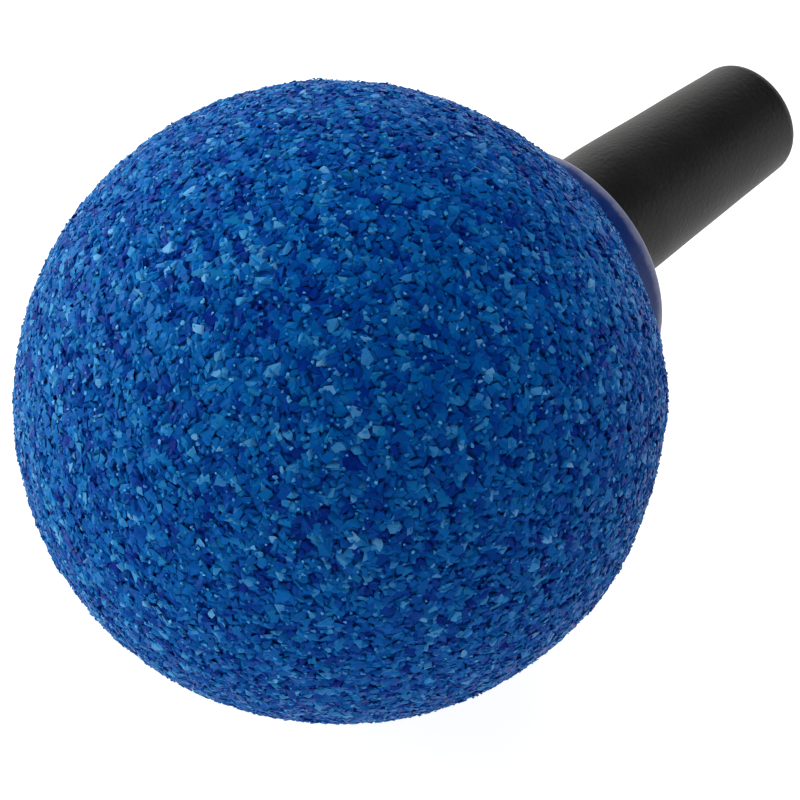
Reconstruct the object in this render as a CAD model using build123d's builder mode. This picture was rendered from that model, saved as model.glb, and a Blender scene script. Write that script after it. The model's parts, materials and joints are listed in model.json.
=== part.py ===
from build123d import *

import os

# Air stone: a ball of bonded mineral grain on a push-on hose nipple.
#
# Millimetres, +Z up. +X runs along the nipple, the way the hose leaves.
# The origin is on the nipple's axis, in the outer face of the seat collar,
# where a pushed-on hose stops. X values below are measured from that face,
# so what is inside the ball has a negative X.

# Ball
ball_dia = 25.0
collar_proud = 0.65  # how far the collar's face stands outside the ball's round
ball_centre_x = -(ball_dia / 2 + collar_proud)

# Seat collar, cast a little off the nipple's axis
collar_dia = 10.65
collar_depth = 2.8  # sinks the underside at least 0.6 into the grain all round
collar_rim_radius = 0.35
collar_shift = (-0.46, -0.41)  # along Y and Z

# Hose nipple: a short straight land at the root, then a taper to the tip
nipple_root_dia = 5.7
nipple_tip_dia = 4.8
nipple_land = 4.0
nipple_length = 13.3
tip_radius = 0.65
bore_dia = 2.5
mouth_chamfer = 0.25

# Spigot: the nipple's inner end, with barbed rings that key into the bond
spigot_dia = 5.2
ring_dia = 6.0
ring_width = 0.9
ring_pitch = 2.2
ring_first = 1.1  # from the collar's underside to the first ring
ring_count = 3

# Pocket that the spigot is bonded into, and the blind air chamber beyond it
pocket_dia = 6.6
pocket_depth = 10.2
chamber_dia = 3.2
chamber_end = 17.0

collar_seat_x = -collar_depth
pocket_floor_x = -pocket_depth


def ring_outline():
    """The barbed rings on the spigot, going inwards, as (x, radius) points."""
    points = []
    for n in range(ring_count):
        face_x = collar_seat_x - ring_first - n * ring_pitch
        points.append((face_x, spigot_dia / 2))
        points.append((face_x, ring_dia / 2))
        points.append((face_x - ring_width, spigot_dia / 2))
    return points


# Hose nipple: one turned outline, bored through
nipple_outline = [
    (nipple_length, bore_dia / 2),
    (nipple_length, nipple_tip_dia / 2),
    (nipple_land, nipple_root_dia / 2),
    (0, nipple_root_dia / 2),
    (0, spigot_dia / 2),
    *ring_outline(),
    (pocket_floor_x, spigot_dia / 2),
    (pocket_floor_x, bore_dia / 2),
]

with BuildPart() as hose_nipple:
    with BuildSketch(Plane.XY):
        with BuildLine():
            Polyline(*nipple_outline, close=True)
        make_face()
    revolve(axis=Axis.X)
    tip_circles = hose_nipple.edges().filter_by(GeomType.CIRCLE).group_by(Axis.X)[-1]
    fillet(tip_circles.sort_by(SortBy.RADIUS)[-1], tip_radius)
    mouth_circles = hose_nipple.edges().filter_by(GeomType.CIRCLE).group_by(Axis.X)[-1]
    chamfer(mouth_circles.sort_by(SortBy.RADIUS)[0], mouth_chamfer)

# Seat collar: a smooth disc round the spigot, rounded at its outer rim
with BuildPart() as seat_collar:
    with BuildSketch(Plane.YZ.offset(collar_seat_x)):
        with Locations(collar_shift):
            Circle(collar_dia / 2)
        Circle(spigot_dia / 2, mode=Mode.SUBTRACT)
    extrude(amount=collar_depth)
    face_circles = seat_collar.edges().filter_by(GeomType.CIRCLE).group_by(Axis.X)[-1]
    fillet(face_circles.sort_by(SortBy.RADIUS)[-1], collar_rim_radius)

# Bond sleeve: the adhesive that fills the pocket round the barbed spigot
sleeve_outline = [
    (collar_seat_x, pocket_dia / 2),
    (collar_seat_x, spigot_dia / 2),
    *ring_outline(),
    (pocket_floor_x, spigot_dia / 2),
    (pocket_floor_x, pocket_dia / 2),
]

with BuildPart() as bond_sleeve:
    with BuildSketch(Plane.XY):
        with BuildLine():
            Polyline(*sleeve_outline, close=True)
        make_face()
    revolve(axis=Axis.X)

# Stone ball: the collar's seat, the pocket and the round-ended air chamber
chamber_round_x = -chamber_end + chamber_dia / 2
cavity_outline = [
    (collar_seat_x, 0),
    (collar_seat_x, pocket_dia / 2),
    (pocket_floor_x, pocket_dia / 2),
    (pocket_floor_x, chamber_dia / 2),
    (chamber_round_x, chamber_dia / 2),
]

with BuildPart() as stone_ball:
    with Locations((ball_centre_x, 0, 0)):
        Sphere(ball_dia / 2)
    with BuildSketch(Plane.YZ.offset(collar_seat_x)):
        with Locations(collar_shift):
            Circle(collar_dia / 2)
    extrude(amount=collar_depth, mode=Mode.SUBTRACT)
    with BuildSketch(Plane.XY):
        with BuildLine():
            Polyline(*cavity_outline)
            CenterArc((chamber_round_x, 0), chamber_dia / 2, 90, 90)
            Line((-chamber_end, 0), cavity_outline[0])
        make_face()
    revolve(axis=Axis.X, mode=Mode.SUBTRACT)

hose_nipple.part.label = "hose_nipple"
seat_collar.part.label = "seat_collar"
bond_sleeve.part.label = "bond_sleeve"
stone_ball.part.label = "stone_ball"

os.makedirs("parts", exist_ok=True)
export_step(hose_nipple.part, "parts/hose_nipple.step")
export_step(seat_collar.part, "parts/seat_collar.step")
export_step(bond_sleeve.part, "parts/bond_sleeve.step")
export_step(stone_ball.part, "parts/stone_ball.step")
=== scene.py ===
# Looks of the air stone: bonded grain, smooth collar, black nipple. Metres, in the CAD frame.
import json
import math

import bmesh
import bpy
import numpy as np
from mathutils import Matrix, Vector


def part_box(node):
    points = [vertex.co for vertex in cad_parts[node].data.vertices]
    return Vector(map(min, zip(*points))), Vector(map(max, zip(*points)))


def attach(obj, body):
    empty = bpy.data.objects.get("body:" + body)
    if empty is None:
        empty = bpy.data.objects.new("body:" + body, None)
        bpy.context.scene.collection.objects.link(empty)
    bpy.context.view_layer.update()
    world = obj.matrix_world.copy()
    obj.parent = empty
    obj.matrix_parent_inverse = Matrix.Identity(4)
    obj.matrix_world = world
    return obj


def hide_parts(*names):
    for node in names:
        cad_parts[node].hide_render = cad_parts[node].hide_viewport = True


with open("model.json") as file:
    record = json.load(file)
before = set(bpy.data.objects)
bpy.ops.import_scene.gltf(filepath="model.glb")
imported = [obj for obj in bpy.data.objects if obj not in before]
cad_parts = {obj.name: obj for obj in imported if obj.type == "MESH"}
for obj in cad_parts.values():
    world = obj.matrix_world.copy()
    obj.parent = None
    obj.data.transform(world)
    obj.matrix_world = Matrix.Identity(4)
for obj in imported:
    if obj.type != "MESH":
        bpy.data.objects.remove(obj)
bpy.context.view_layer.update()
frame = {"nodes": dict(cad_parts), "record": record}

MM = 0.001
BODY = "root"
rng = np.random.default_rng(20)


# ---------------------------------------------------------------- sizes from the frame

def mount(name):
    """A mount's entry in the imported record."""
    return next(m for m in frame["record"]["mounts"] if m["name"] == name)


ball_low, ball_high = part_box("stone_ball")
collar_low, collar_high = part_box("seat_collar")
nipple_low, nipple_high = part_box("hose_nipple")
sleeve_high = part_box("bond_sleeve")[1]

BALL_R = (ball_high.z - ball_low.z) / 2
BALL_X = ball_low.x + BALL_R
COLLAR_R = (collar_high.z - collar_low.z) / 2
COLLAR_Y = (collar_high.y + collar_low.y) / 2
COLLAR_Z = (collar_high.z + collar_low.z) / 2
SEAT_X = collar_low.x
TIP_X = nipple_high.x
POCKET_X = nipple_low.x
POCKET_R = sleeve_high.z
ROOT_R = mount("hose_nipple")["dims"]["r_mm"] * MM
LAND = mount("hose_nipple")["dims"]["length_mm"] * MM
BORE_R = mount("air_inlet")["dims"]["r_mm"] * MM

# What the frame doesn't give directly
TIP_R = 2.4 * MM
TIP_ROUND = 0.65 * MM
MOUTH_CHAMFER = 0.25 * MM
SPIGOT_R = 2.6 * MM
RING_R = 3.0 * MM
RING_FIRST, RING_PITCH, RING_WIDTH, RING_COUNT = 1.1 * MM, 2.2 * MM, 0.9 * MM, 3
CHAMBER_R = 1.6 * MM
CHAMBER_END = -17.0 * MM
COLLAR_ROUND = 0.35 * MM


# ---------------------------------------------------------------- camera, floor and light

VIEW_AZIMUTH = math.radians(-50.5)
VIEW_ELEVATION = math.radians(35.4)
VIEW_DISTANCE = 250 * MM
LENS_MM, SENSOR_MM = 292.5, 36.0
# The ball's centre sits this far left of and below the middle of the picture
FRAMING_LEFT, FRAMING_DOWN = 2.37 * MM, 0.10 * MM

back = Vector((
    math.sin(VIEW_AZIMUTH) * math.cos(VIEW_ELEVATION),
    -math.cos(VIEW_AZIMUTH) * math.cos(VIEW_ELEVATION),
    math.sin(VIEW_ELEVATION),
))
right = Vector((math.cos(VIEW_AZIMUTH), math.sin(VIEW_AZIMUTH), 0))
up = back.cross(right)
ball_centre = Vector((BALL_X, 0, 0))

# The surround's light is brightest towards this side, and darkest away from it
BRIGHT_SIDE = back * -0.74 + right * -0.42 + up * -0.02
SURROUND_DARK, SURROUND_BRIGHT = 0.05, 2.13
# A dark flag in it: its middle, the cosines where it starts and is full, and the light left there
FLAG_MIDDLE = right * 0.55 + up * 0.82 + back * 0.18
FLAG_START, FLAG_FULL, FLAG_LEVEL = 0.50, 0.97, 0.06
# Each lamp's direction, distance, size, power in watts, colour, and whether reflections show it
LAMPS = {
    "key": (-right + up * 0.16 - back * 0.06, 0.32, 0.30, 1.72, (1, 1, 0.70), True),
    "top": (up * 0.80 + back * 0.28 + right * 0.20, 0.35, 0.22, 0.76, (1, 1, 1), False),
    "low": (right + up * 0.04 + back * 0.03, 0.30, 0.14, 0.070, (1, 1, 1), True),
}
FLOOR_SIZE, FLOOR_GAP = 3.0, 0.1 * MM
FLOOR_GREY, FLOOR_GLOW, FLOOR_ROUGHNESS = 0.35, 0.93, 0.9


def link(obj):
    bpy.context.scene.collection.objects.link(obj)
    return obj


def make_camera():
    data = bpy.data.cameras.new("camera")
    data.sensor_width = SENSOR_MM
    data.lens = LENS_MM
    data.clip_start, data.clip_end = 0.01, 20
    camera = link(bpy.data.objects.new("camera", data))
    camera.rotation_mode = "QUATERNION"
    camera.rotation_quaternion = back.to_track_quat("Z", "Y")
    aim = ball_centre + right * FRAMING_LEFT + up * FRAMING_DOWN
    camera.location = aim + back * VIEW_DISTANCE
    bpy.context.scene.camera = camera


def area_light(name, direction, distance, size, power, colour, in_reflections):
    """A soft square lamp that faces the ball from a direction."""
    data = bpy.data.lights.new(name, "AREA")
    data.shape = "SQUARE"
    data.size = size
    data.energy = power
    data.color = colour
    lamp = link(bpy.data.objects.new(name, data))
    lamp.location = ball_centre + direction.normalized() * distance
    lamp.rotation_mode = "QUATERNION"
    lamp.rotation_quaternion = direction.to_track_quat("Z", "Y")
    lamp.visible_glossy = in_reflections


def turned_level(tree, place, direction, cosines, levels, curve):
    """A brightness that goes from one level to another as the view turns towards a direction."""
    dot = tree.nodes.new("ShaderNodeVectorMath")
    dot.operation = "DOT_PRODUCT"
    dot.inputs[1].default_value = direction.normalized()
    tree.links.new(place.outputs["Generated"], dot.inputs[0])
    level = tree.nodes.new("ShaderNodeMapRange")
    level.interpolation_type = curve
    level.inputs["From Min"].default_value, level.inputs["From Max"].default_value = cosines
    level.inputs["To Min"].default_value, level.inputs["To Max"].default_value = levels
    tree.links.new(dot.outputs["Value"], level.inputs["Value"])
    return level.outputs["Result"]


def make_light():
    """Soft surround, brighter behind and left of the ball, with a dark flag up on the right."""
    world = bpy.data.worlds.new("studio")
    bpy.context.scene.world = world
    world.use_nodes = True
    tree = world.node_tree
    place = tree.nodes.new("ShaderNodeTexCoord")
    levels = (SURROUND_DARK, SURROUND_BRIGHT)
    surround = turned_level(tree, place, BRIGHT_SIDE, (-1, 1), levels, "LINEAR")
    cosines = (FLAG_START, FLAG_FULL)
    unflagged = turned_level(tree, place, FLAG_MIDDLE, cosines, (1, FLAG_LEVEL), "SMOOTHSTEP")
    level = tree.nodes.new("ShaderNodeMath")
    level.operation = "MULTIPLY"
    tree.links.new(surround, level.inputs[0])
    tree.links.new(unflagged, level.inputs[1])
    path = tree.nodes.new("ShaderNodeLightPath")
    pick = tree.nodes.new("ShaderNodeMix")  # seen directly, the surround is plain white
    pick.inputs["B"].default_value = 1.0
    tree.links.new(path.outputs["Is Camera Ray"], pick.inputs["Factor"])
    tree.links.new(level.outputs[0], pick.inputs["A"])
    tree.links.new(pick.outputs["Result"], tree.nodes["Background"].inputs["Strength"])
    tree.nodes["Background"].inputs["Color"].default_value = (1, 1, 1, 1)
    for name, values in LAMPS.items():
        area_light(name, *values)


def make_floor():
    """A plain pale floor just under the ball."""
    place = (BALL_X, 0, ball_low.z - FLOOR_GAP)
    bpy.ops.mesh.primitive_plane_add(size=FLOOR_SIZE, location=place)
    floor = bpy.context.object
    floor.name = "floor"
    m = bpy.data.materials.new("floor")
    m.use_nodes = True
    shader = m.node_tree.nodes["Principled BSDF"]
    shader.inputs["Base Color"].default_value = (FLOOR_GREY, FLOOR_GREY, FLOOR_GREY, 1)
    shader.inputs["Roughness"].default_value = FLOOR_ROUGHNESS
    shader.inputs["Specular IOR Level"].default_value = 0.0
    shader.inputs["Emission Color"].default_value = (1, 1, 1, 1)
    shader.inputs["Emission Strength"].default_value = FLOOR_GLOW
    floor.data.materials.append(m)


# ---------------------------------------------------------------- mesh helpers

def mesh_piece(name, verts, faces, material, replaces):
    """A piece from points and faces, which rides on the one body."""
    mesh = bpy.data.meshes.new(name)
    mesh.from_pydata(verts, [], faces)
    mesh.validate()
    mesh.update()
    mesh.materials.append(material)
    obj = link(bpy.data.objects.new(name, mesh))
    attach(obj, BODY)
    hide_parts(replaces)
    return obj


SHARP_DEGREES = 35


def smooth(obj):
    """Smooth shading, apart from sharp edges."""
    bm = bmesh.new()
    bm.from_mesh(obj.data)
    bmesh.ops.recalc_face_normals(bm, faces=bm.faces)
    for face in bm.faces:
        face.smooth = True
    for edge in bm.edges:
        edge.smooth = edge.calc_face_angle(0) < math.radians(SHARP_DEGREES)
    bm.to_mesh(obj.data)
    bm.free()


def lathe(outline, columns):
    """Points and faces of a closed outline of (x, radius) turned about X."""
    x, r = np.array(outline).T
    angle = np.arange(columns) * 2 * math.pi / columns
    verts = np.stack([
        np.repeat(x[:, None], columns, 1),
        r[:, None] * np.cos(angle),
        r[:, None] * np.sin(angle),
    ], -1).reshape(-1, 3)
    rows = len(outline)
    i, j = np.meshgrid(np.arange(rows), np.arange(columns), indexing="ij")
    i2, j2 = (i + 1) % rows, (j + 1) % columns
    faces = np.stack([i * columns + j, i * columns + j2, i2 * columns + j2, i2 * columns + j], -1)
    return verts, faces.reshape(-1, 4)


def divided(points, step):
    """The open line through these points, with points added so that no stretch passes step."""
    out = [points[0]]
    for a, b in zip(points, points[1:]):
        count = max(1, math.ceil(math.dist(a, b) / step))
        out += [(a[0] + (b[0] - a[0]) * k / count, a[1] + (b[1] - a[1]) * k / count)
                for k in range(1, count + 1)]
    return out


def arc(x, r, radius, start, end, count):
    """Points of an arc about (x, r), its angles in degrees from +X."""
    angles = [math.radians(start + (end - start) * k / count) for k in range(count + 1)]
    return [(x + radius * math.cos(a), r + radius * math.sin(a)) for a in angles]


WAVE_COUNT = 12
EVEN_PITCH = 1.6  # an even wave's radians over a length of scale


def waves(p, scale, seed, even=False):
    """Smooth noise at each point, mostly between -1.4 and 1.4, from a sum of sines.

    Even waves are all as long as each other, so that the patches have one size.
    """
    source = np.random.default_rng(seed)
    total = np.zeros(len(p))
    for _ in range(WAVE_COUNT):
        direction = source.normal(size=3)
        if even:
            direction *= EVEN_PITCH / np.linalg.norm(direction)
        total += np.sin(p @ direction / scale + source.uniform(0, 2 * math.pi))
    return total / math.sqrt(WAVE_COUNT)


# ---------------------------------------------------------------- materials

def new_material(name):
    """A material, its node tree and its shader."""
    m = bpy.data.materials.new(name)
    m.use_nodes = True
    tree = m.node_tree
    return m, tree, tree.nodes["Principled BSDF"]


def node(tree, kind, **values):
    """A shader node with its inputs or properties set by name."""
    n = tree.nodes.new(kind)
    for key, value in values.items():
        if key in n.inputs:
            n.inputs[key].default_value = value
        else:
            setattr(n, key, value)
    return n


def noise_node(tree, scale, detail=3.0, roughness=0.6):
    """3-D noise in the piece's own coordinates; scale is features per metre."""
    place = node(tree, "ShaderNodeTexCoord")
    n = node(tree, "ShaderNodeTexNoise", Scale=scale, Detail=detail, Roughness=roughness)
    tree.links.new(place.outputs["Object"], n.inputs["Vector"])
    return n


def ramp(tree, source, stops):
    """A colour ramp on a value; stops are (position, colour)."""
    r = node(tree, "ShaderNodeValToRGB")
    elements = r.color_ramp.elements
    while len(elements) < len(stops):
        elements.new(0.5)
    for element, (position, colour) in zip(elements, stops):
        element.position = position
        element.color = (*colour, 1)
    tree.links.new(source, r.inputs["Fac"])
    return r


def set_roughness(tree, source, low, high, shader):
    """Roughness from low to high along a value."""
    r = node(tree, "ShaderNodeMapRange")
    r.inputs["To Min"].default_value, r.inputs["To Max"].default_value = low, high
    tree.links.new(source, r.inputs["Value"])
    tree.links.new(r.outputs["Result"], shader.inputs["Roughness"])


def bump(tree, source, distance, shader):
    """Fine relief along a value, of this height."""
    b = node(tree, "ShaderNodeBump", Strength=1.0, Distance=distance)
    tree.links.new(source, b.inputs["Height"])
    tree.links.new(b.outputs["Normal"], shader.inputs["Normal"])


# Noise scales, in features per metre
GRAIN_CLOUDS, CORE_CLOUDS, COLLAR_CLOUDS, ADHESIVE_CLOUDS = 5200, 3000, 1400, 1200
NIPPLE_TEXTURE, NIPPLE_RUBS = 5000, 420
# Each material's Specular IOR Level, as a plain number
GRAIN_GLOSS, CORE_GLOSS, COLLAR_GLOSS, NIPPLE_GLOSS = 0.028, 0.1, 0.16, 0.22
CLOUDING = 0.35  # the clouding's share of a grain's tone
COLLAR_CLOUDING, COLLAR_RIM_HIGHLIGHT = 0.8, 0.6  # what the clouding and the painted rim highlight each add to its tone


def grain_material(name, dark, mid, light):
    """Coloured crushed grain: each grain has its own shade, with faint clouding inside it."""
    m, tree, shader = new_material(name)
    shade = node(tree, "ShaderNodeAttribute", attribute_name="shade")
    cloud = noise_node(tree, GRAIN_CLOUDS)
    mix = node(tree, "ShaderNodeMix", Factor=CLOUDING)
    tree.links.new(shade.outputs["Fac"], mix.inputs["A"])
    tree.links.new(cloud.outputs["Fac"], mix.inputs["B"])
    edge = CLOUDING / 2  # the clouding's middle, where a grain of shade 0 lies
    colours = ramp(tree, mix.outputs["Result"], [(edge, dark), (0.5, mid), (1 - edge, light)])
    tree.links.new(colours.outputs["Color"], shader.inputs["Base Color"])
    set_roughness(tree, cloud.outputs["Fac"], 0.16, 0.50, shader)
    shader.inputs["Specular IOR Level"].default_value = GRAIN_GLOSS
    return m


def core_material():
    """Shadowed binder and grain below the surface."""
    m, tree, shader = new_material("core_grain")
    n = noise_node(tree, CORE_CLOUDS, 4)
    colours = ramp(tree, n.outputs["Fac"], [
        (0.35, (0.0003, 0.060, 0.40)),
        (0.65, (0.0005, 0.085, 0.46)),
    ])
    tree.links.new(colours.outputs["Color"], shader.inputs["Base Color"])
    shader.inputs["Roughness"].default_value = 0.7
    shader.inputs["Specular IOR Level"].default_value = CORE_GLOSS
    bump(tree, n.outputs["Fac"], 0.1 * MM, shader)
    return m


def collar_material():
    """Smooth blue-violet resin, paler round its rim where a highlight is painted on."""
    m, tree, shader = new_material("collar_resin")
    # Painted highlight: the rim's round is made paler where it catches the light
    rim_highlight = node(tree, "ShaderNodeAttribute", attribute_name="rim_highlight")
    highlight_level = node(tree, "ShaderNodeMath", operation="MULTIPLY")
    tree.links.new(rim_highlight.outputs["Fac"], highlight_level.inputs[0])
    highlight_level.inputs[1].default_value = COLLAR_RIM_HIGHLIGHT
    cloud = noise_node(tree, COLLAR_CLOUDS, 5, 0.7)
    blend = node(tree, "ShaderNodeMath", operation="MULTIPLY_ADD")
    tree.links.new(cloud.outputs["Fac"], blend.inputs[0])
    blend.inputs[1].default_value = COLLAR_CLOUDING
    tree.links.new(highlight_level.outputs[0], blend.inputs[2])
    colours = ramp(tree, blend.outputs[0], [
        (0.30, (0.0022, 0.018, 0.120)),
        (0.62, (0.0140, 0.032, 0.140)),
        # The lightest stop is the painted highlight on the rim
        (1.0, (0.150, 0.165, 0.270)),
    ])
    tree.links.new(colours.outputs["Color"], shader.inputs["Base Color"])
    set_roughness(tree, cloud.outputs["Fac"], 0.25, 0.45, shader)
    shader.inputs["Specular IOR Level"].default_value = COLLAR_GLOSS
    bump(tree, cloud.outputs["Fac"], 0.03 * MM, shader)
    return m


def nipple_material():
    """Satin black moulded plastic with fine texture and faint rub marks."""
    m, tree, shader = new_material("nipple_plastic")
    fine = noise_node(tree, NIPPLE_TEXTURE, 4)
    wide = noise_node(tree, NIPPLE_RUBS, 4)
    colours = ramp(tree, wide.outputs["Fac"], [
        (0.3, (0.0052, 0.0053, 0.0055)),
        (0.7, (0.0092, 0.0094, 0.0095)),
    ])
    tree.links.new(colours.outputs["Color"], shader.inputs["Base Color"])
    set_roughness(tree, wide.outputs["Fac"], 0.44, 0.56, shader)
    shader.inputs["Specular IOR Level"].default_value = NIPPLE_GLOSS
    bump(tree, fine.outputs["Fac"], 0.030 * MM, shader)
    return m


def adhesive_material():
    """Cloudy amber adhesive round the spigot."""
    m, tree, shader = new_material("bond_adhesive")
    n = noise_node(tree, ADHESIVE_CLOUDS, 4)
    colours = ramp(tree, n.outputs["Fac"], [
        (0.3, (0.42, 0.34, 0.20)),
        (0.7, (0.62, 0.56, 0.40)),
    ])
    tree.links.new(colours.outputs["Color"], shader.inputs["Base Color"])
    shader.inputs["Roughness"].default_value = 0.35
    bump(tree, n.outputs["Fac"], 0.05 * MM, shader)
    return m


# ---------------------------------------------------------------- stone core

CORE_DROP = 0.24 * MM  # the core's surface lies this far under the ball's round
CORE_LUMP, CORE_LUMP_HEIGHT = 0.07 * MM, 0.06 * MM
CORE_COLUMNS, CORE_ROWS = 300, 130
POLE_ANGLE = 0.0015  # the outside ends this far from the pole, in radians, in a small flat cap
CHAMBER_POLE_R = 0.02 * MM  # and the chamber ends in a cap of this radius


def seat_radius(angle):
    """The collar's seat, measured from the nipple's axis, at an angle about it."""
    offset = math.hypot(COLLAR_Y, COLLAR_Z)
    toward = math.atan2(COLLAR_Z, COLLAR_Y)
    swing = angle - toward
    return offset * np.cos(swing) + np.sqrt(COLLAR_R**2 - (offset * np.sin(swing)) ** 2)


def make_core():
    """Lumpy binder under the grain, with the collar's seat, the pocket and the air chamber."""
    columns = CORE_COLUMNS
    angle = np.arange(columns) * 2 * math.pi / columns
    seat = seat_radius(angle)
    outer_r = BALL_R - CORE_DROP
    rows = []
    inner = [(CHAMBER_END, CHAMBER_POLE_R)]
    inner += arc(CHAMBER_END + CHAMBER_R, 0, CHAMBER_R, 172, 90, 8)
    inner += [(POCKET_X, CHAMBER_R), (POCKET_X, POCKET_R), (SEAT_X, POCKET_R)]
    for x, r in inner:
        rows.append((np.full(columns, x), np.full(columns, r)))
    rows.append((np.full(columns, SEAT_X), seat))
    start = np.arcsin(seat / outer_r)
    for k in range(CORE_ROWS + 1):
        polar = start + (math.pi - POLE_ANGLE - start) * k / CORE_ROWS
        rows.append((BALL_X + outer_r * np.cos(polar), outer_r * np.sin(polar)))
    x = np.array([row[0] for row in rows])
    r = np.array([row[1] for row in rows])
    verts = np.stack([x, r * np.cos(angle), r * np.sin(angle)], -1).reshape(-1, 3)
    lumps = waves(verts, CORE_LUMP, 3) * CORE_LUMP_HEIGHT
    lumps[: (len(inner) + 1) * columns] = 0  # the hollows and the seat stay true
    away = verts - np.array([BALL_X, 0, 0])
    verts = verts + away / np.linalg.norm(away, axis=1)[:, None] * lumps[:, None]
    count = len(rows)
    i, j = np.meshgrid(np.arange(count - 1), np.arange(columns), indexing="ij")
    j2 = (j + 1) % columns
    faces = np.stack([
        i * columns + j, i * columns + j2, (i + 1) * columns + j2, (i + 1) * columns + j,
    ], -1).reshape(-1, 4).tolist()
    faces.append(list(range(columns)))
    faces.append(list(range((count - 1) * columns, count * columns)))
    core = mesh_piece("stone_core", verts, faces, core_material(), "stone_ball")
    smooth(core)


# ---------------------------------------------------------------- grains

GRAIN_SHAPES = 220
# Limits of a shape's count of points, of which the upper is never reached, their distance from
# its middle, and its breadth and thickness
SHAPE_POINTS, POINT_REACH, BREADTH, THICKNESS = (9, 13), (0.38, 0.56), (0.7, 1.0), (0.6, 0.95)
PRESSED = 0.55  # thickness left along the radius, where the mould pressed the grains flat
SIZE_SPREAD, SIZE_LIMITS = 0.2, (0.6, 1.5)  # of a grain's width, against its layer's
# Each layer's count, where its grains' outer ends lie against the ball's round and how far they
# spread under that, the grains' width, and how far they stray from even places, in spacings
SURFACE_LAYER = (17500, -0.01 * MM, 0.025 * MM, 0.60 * MM, 0.22)
UNDER_LAYER = (13500, -0.035 * MM, 0.02 * MM, 0.69 * MM, 0.25)
FLECK_LAYER = (6500, 0.02 * MM, 0.02 * MM, 0.19 * MM, 0.45)  # fine grit on and between the grains
PIT_SHARE = 0.030  # surface grains left out, where the patches are darkest, which show as pits
COLLAR_MARGIN = 0.3  # grains keep their middles this far off the collar, in widths


def grain_shape():
    """A small crushed grain: the convex hull of a few random points, about 1 wide."""
    count = int(rng.integers(*SHAPE_POINTS))
    points = rng.normal(size=(count, 3))
    points /= np.linalg.norm(points, axis=1)[:, None]
    points *= rng.uniform(*POINT_REACH, (count, 1))
    points *= np.array([1.0, rng.uniform(*BREADTH), rng.uniform(*THICKNESS)])
    bm = bmesh.new()
    for p in points:
        bm.verts.new(p)
    bmesh.ops.convex_hull(bm, input=bm.verts)
    bmesh.ops.delete(bm, geom=[v for v in bm.verts if not v.link_faces], context="VERTS")
    bmesh.ops.recalc_face_normals(bm, faces=bm.faces)
    bm.verts.index_update()
    verts = np.array([v.co for v in bm.verts])
    faces = np.array([[v.index for v in f.verts] for f in bm.faces])
    bm.free()
    return verts, faces


def sphere_places(count, jitter):
    """Directions spread evenly over a sphere, each moved a little at random."""
    k = np.arange(count) + 0.5
    z = 1 - 2 * k / count
    turn = k * math.pi * (3 - math.sqrt(5))
    flat = np.sqrt(1 - z * z)
    places = np.stack([flat * np.cos(turn), flat * np.sin(turn), z], -1)
    places += rng.normal(size=(count, 3)) * jitter * math.sqrt(4 * math.pi / count)
    return places / np.linalg.norm(places, axis=1)[:, None]


def turns(count):
    """Random rotation matrices."""
    q = rng.normal(size=(count, 4))
    w, x, y, z = (q / np.linalg.norm(q, axis=1)[:, None]).T
    return np.array([
        [1 - 2 * (y * y + z * z), 2 * (x * y - z * w), 2 * (x * z + y * w)],
        [2 * (x * y + z * w), 1 - 2 * (x * x + z * z), 2 * (y * z - x * w)],
        [2 * (x * z - y * w), 2 * (y * z + x * w), 1 - 2 * (x * x + y * y)],
    ]).transpose(2, 0, 1)


# Where the ball isn't round: each swell's place in degrees about the line of sight, from the
# picture's right, its height, and the degrees over which it falls to about a third
BALL_SWELLS = [(3, 0.20 * MM, 14), (325, 0.12 * MM, 16), (75, -0.12 * MM, 24), (265, -0.14 * MM, 26)]
# Faint unevenness: the first scale is in ball radii, the second in metres
WIDE_SCALE, WIDE_HEIGHT = 0.6, 0.02 * MM
NEAR_SCALE, NEAR_HEIGHT = 0.4 * MM, 0.022 * MM
# The grain banks up against the collar: its height there, and how far it reaches from the wall
BANK_HEIGHT, BANK_REACH = 0.42 * MM, 1.9 * MM


def ball_round(places):
    """The ball's radius in each direction: the mould's round, its unevenness and the bank."""
    radius = BALL_R + waves(places, WIDE_SCALE, 11) * WIDE_HEIGHT
    radius += waves(places * BALL_R, NEAR_SCALE, 12) * NEAR_HEIGHT
    for turn, height, width in BALL_SWELLS:
        angle = math.radians(turn)
        middle = np.array(right * math.cos(angle) + up * math.sin(angle))
        away = np.degrees(np.arccos((places @ middle).clip(-1, 1)))
        radius += height * np.exp(-((away / width) ** 2))
    from_axis = np.hypot(places[:, 1] * BALL_R - COLLAR_Y, places[:, 2] * BALL_R - COLLAR_Z)
    from_wall = from_axis - COLLAR_R
    bank = BANK_HEIGHT * np.exp(-((from_wall / BANK_REACH).clip(0, None) ** 2))
    return radius + bank * (places[:, 0] > 0)


def lay_grains(shapes, count, top, top_spread, size, jitter):
    """Grains with their outer ends just under the ball's round: a list of (points, faces)."""
    places = sphere_places(count, jitter)
    sizes = size * np.exp(rng.normal(0, SIZE_SPREAD, count)).clip(*SIZE_LIMITS)
    spins = turns(count)
    picks = rng.integers(0, len(shapes), count)
    reach = ball_round(places) + top - np.abs(rng.normal(0, top_spread, count))
    grains = []
    for place, width, spin, pick, outer in zip(places, sizes, spins, picks, reach):
        verts, faces = shapes[pick]
        points = verts @ spin.T * width
        points -= np.outer(points @ place, place) * (1 - PRESSED)
        points += place * (outer - (points @ place).max())
        points[:, 0] += BALL_X
        middle = points.mean(0)
        from_collar = math.hypot(middle[1] - COLLAR_Y, middle[2] - COLLAR_Z)
        if middle[0] > SEAT_X and from_collar < COLLAR_R + width * COLLAR_MARGIN:
            continue
        grains.append((points, faces))
    return grains


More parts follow.
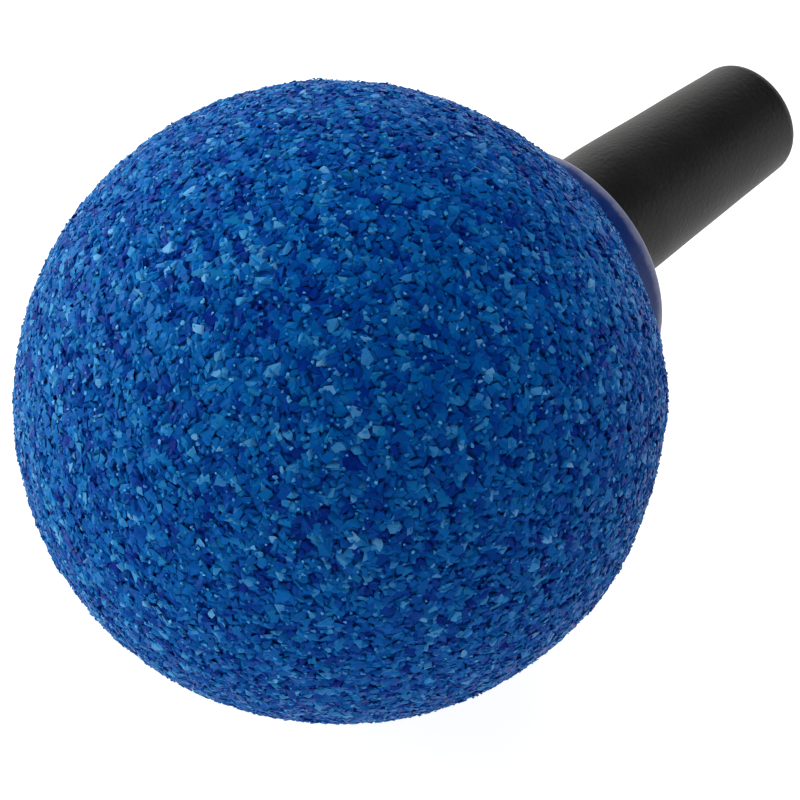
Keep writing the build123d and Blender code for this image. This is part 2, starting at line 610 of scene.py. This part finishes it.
# From the darkest to the lightest, each kind's share and its dark, middle and light colour
TONE_KINDS = {
    "grain_deep": (0.26, [(0.0001, 0.020, 0.203), (0.0002, 0.041, 0.251), (0.0003, 0.055, 0.277)]),
    "grain_blue": (0.50, [(0.0003, 0.056, 0.277), (0.0005, 0.073, 0.304), (0.0012, 0.090, 0.332)]),
    "grain_bright": (0.24, [(0.0014, 0.092, 0.335), (0.0055, 0.125, 0.384), (0.0350, 0.207, 0.485)]),
}
# Found anywhere among the others, whatever the patch
ODD_KINDS = {
    "grain_teal": (0.03, [(0.0010, 0.084, 0.265), (0.0024, 0.108, 0.310), (0.0060, 0.138, 0.355)]),
    "grain_pale": (0.035, [(0.0150, 0.140, 0.400), (0.0450, 0.210, 0.490), (0.1000, 0.300, 0.590)]),
}
UNDER_KINDS = {
    "grain_under_deep": [(0.0001, 0.012, 0.170), (0.0002, 0.048, 0.280), (0.0003, 0.063, 0.314)],
    "grain_under_blue": [(0.0003, 0.069, 0.322), (0.0004, 0.086, 0.352), (0.0005, 0.108, 0.384)],
}
FLECK_COLOURS = [(0.0050, 0.120, 0.390), (0.0220, 0.190, 0.490), (0.0800, 0.310, 0.620)]
# Neighbouring grains share some of their tone: the size of the patches and their strength
TONE_PATCHES = [(0.15 * MM, 1.2), (0.19 * MM, 1.8), (0.23 * MM, 2.2), (0.28 * MM, 1.2)]
PIT_SPREAD, SURFACE_SPREAD, UNDER_SPREAD = 0.25, 0.85, 0.6  # grain_tones' spread for each


def grain_tones(grains, spread):
    """Each grain's place, from 0 to 1, in the order from the darkest to the lightest.

    With a spread of 0 the patches alone decide it; more spread mixes the grains of a patch.
    """
    middles = np.array([points.mean(0) for points, _ in grains])
    tone = rng.normal(size=len(grains)) * spread
    for k, (size, strength) in enumerate(TONE_PATCHES):
        tone += waves(middles, size, 31 + k, even=True) * strength
    return tone.argsort().argsort() / len(grains)


def grain_piece(name, grains, shades, material):
    """One piece from many grains, each with its own shade."""
    counts = [len(v) for v, _ in grains]
    starts = np.cumsum([0] + counts[:-1])
    verts = np.concatenate([v for v, _ in grains])
    faces = np.concatenate([f + s for (_, f), s in zip(grains, starts)])
    piece = mesh_piece(name, verts, faces, material, "stone_ball")
    shade = piece.data.attributes.new("shade", "FLOAT", "POINT")
    shade.data.foreach_set("value", np.repeat(shades, counts).astype(np.float32))


def make_grains():
    """The surface grains in pieces by kind, the flecks, and the grains below in two halves."""
    shapes = [grain_shape() for _ in range(GRAIN_SHAPES)]
    surface = lay_grains(shapes, *SURFACE_LAYER)
    surface = [surface[k] for k in np.flatnonzero(grain_tones(surface, PIT_SPREAD) > PIT_SHARE)]
    under = lay_grains(shapes, *UNDER_LAYER)
    tones = grain_tones(surface, SURFACE_SPREAD)
    draw = rng.uniform(size=len(surface))

    def add(name, chosen, shades, colours):
        grain_piece(name, [surface[k] for k in chosen], shades, grain_material(name, *colours))

    odd_from = 0.0
    for name, (share, colours) in ODD_KINDS.items():
        chosen = np.flatnonzero((draw >= odd_from) & (draw < odd_from + share))
        add(name, chosen, tones[chosen], colours)
        odd_from += share
    tone_from = 0.0
    for name, (share, colours) in TONE_KINDS.items():
        in_kind = (tones >= tone_from) & (tones < tone_from + share)
        chosen = np.flatnonzero((draw >= odd_from) & in_kind)
        add(name, chosen, (tones[chosen] - tone_from) / share, colours)
        tone_from += share
    flecks = lay_grains(shapes, *FLECK_LAYER)
    fleck_shades = rng.uniform(0, 1, len(flecks)) ** 2  # mostly dark ones
    grain_piece("grain_fleck", flecks, fleck_shades, grain_material("grain_fleck", *FLECK_COLOURS))
    under_tones = grain_tones(under, UNDER_SPREAD)
    for half, (name, colours) in enumerate(UNDER_KINDS.items()):
        chosen = np.flatnonzero((under_tones * 2).astype(int) == half)
        shades = under_tones[chosen] * 2 - half
        grain_piece(name, [under[k] for k in chosen], shades, grain_material(name, *colours))


# ---------------------------------------------------------------- collar and nipple

RIM_HIGHLIGHT_REACH = 0.35 * MM  # how far the rim's painted highlight fades out beyond its round
COLLAR_HOLE = 2.1 * MM  # inside the nipple's wall, so that the hole never shows
COLLAR_COLUMNS, COLLAR_STEP = 240, 0.12 * MM
# Unevenness: the wavelength's scale, and the most it adds, as a share of the radius or in metres
OUTLINE_SCALE, OUTLINE_SHARE = 2.2 * MM, 0.004
FACE_SCALE, FACE_HEIGHT, FACE_DEPTH = 1.6 * MM, 0.015 * MM, 1 * MM  # down to this depth only


def make_collar():
    """The smooth collar, turned about its own axis, its outline a little uneven."""
    face = divided([(0, COLLAR_HOLE), (0, COLLAR_R - COLLAR_ROUND)], COLLAR_STEP)
    rim = arc(-COLLAR_ROUND, COLLAR_R - COLLAR_ROUND, COLLAR_ROUND, 0, 90, 10)[1:]
    wall = divided([rim[-1], (SEAT_X, COLLAR_R)], COLLAR_STEP)[1:]
    inner = [(SEAT_X, COLLAR_HOLE)]
    verts, faces = lathe(face + rim + wall + inner, COLLAR_COLUMNS)
    radius = np.hypot(verts[:, 1], verts[:, 2])
    outer = (radius / COLLAR_R) ** 4  # little of it near the nipple
    verts[:, 1:] *= 1 + (waves(verts, OUTLINE_SCALE, 5) * OUTLINE_SHARE * outer)[:, None]
    raised = waves(verts, FACE_SCALE, 6) * FACE_HEIGHT * outer
    verts[:, 0] += raised * (verts[:, 0] > -FACE_DEPTH)
    verts[:, 1] += COLLAR_Y
    verts[:, 2] += COLLAR_Z
    # Painted highlight on the round of the rim, less and less down the wall and in across the face
    down = ((-verts[:, 0] - COLLAR_ROUND) / RIM_HIGHLIGHT_REACH).clip(0, 1)
    inward = ((COLLAR_R - COLLAR_ROUND - radius) / RIM_HIGHLIGHT_REACH).clip(0, 1)
    collar = mesh_piece(
        "collar_ring", verts, faces, collar_material(), "seat_collar"
    )
    # How strongly the painted highlight shows at each point
    rim_highlight = collar.data.attributes.new("rim_highlight", "FLOAT", "POINT")
    rim_highlight.data.foreach_set("value", ((1 - down) * (1 - inward)).astype(np.float32))
    smooth(collar)


def spigot_rings():
    """The barbed rings on the spigot, going inwards."""
    points = []
    for n in range(RING_COUNT):
        face_x = SEAT_X - RING_FIRST - n * RING_PITCH
        points += [(face_x, SPIGOT_R), (face_x, RING_R), (face_x - RING_WIDTH, SPIGOT_R)]
    return points


NIPPLE_COLUMNS, NIPPLE_STEP, BORE_STEP = 160, 0.3 * MM, 1 * MM
SKIN_SCALE, SKIN_SHARE = 1.3 * MM, 0.0025  # its outside's unevenness, as the collar's outline


def make_nipple():
    """The tapered nipple with its rounded lip, bore and barbed spigot."""
    slope = (ROOT_R - TIP_R) / (TIP_X - LAND)
    lip_x = TIP_X - TIP_ROUND
    lip_r = TIP_R + slope * TIP_ROUND
    lip = arc(lip_x, lip_r - TIP_ROUND, TIP_ROUND, 90, 0, 12)
    outside = divided([(0, ROOT_R), (LAND, ROOT_R), lip[0]], NIPPLE_STEP)
    mouth = [(TIP_X, BORE_R + MOUTH_CHAMFER), (TIP_X - MOUTH_CHAMFER, BORE_R)]
    bore = divided([mouth[-1], (POCKET_X, BORE_R)], BORE_STEP)[1:]
    spigot = [(POCKET_X, SPIGOT_R)] + spigot_rings()[::-1] + [(0, SPIGOT_R)]
    verts, faces = lathe(outside + lip[1:] + mouth + bore + spigot, NIPPLE_COLUMNS)
    radius = np.hypot(verts[:, 1], verts[:, 2])
    skin = (verts[:, 0] > 0) & (radius > BORE_R + MOUTH_CHAMFER * 1.1)  # not the bore or the mouth
    verts[:, 1:] *= 1 + (waves(verts, SKIN_SCALE, 8) * SKIN_SHARE * skin)[:, None]
    nipple = mesh_piece(
        "nipple_tube", verts, faces, nipple_material(), "hose_nipple"
    )
    smooth(nipple)


make_camera()
make_light()
make_floor()
make_core()
make_grains()
make_collar()
make_nipple()
frame["nodes"]["bond_sleeve"].data.materials.clear()
frame["nodes"]["bond_sleeve"].data.materials.append(adhesive_material())
bpy.context.scene.view_settings.view_transform = "Standard"
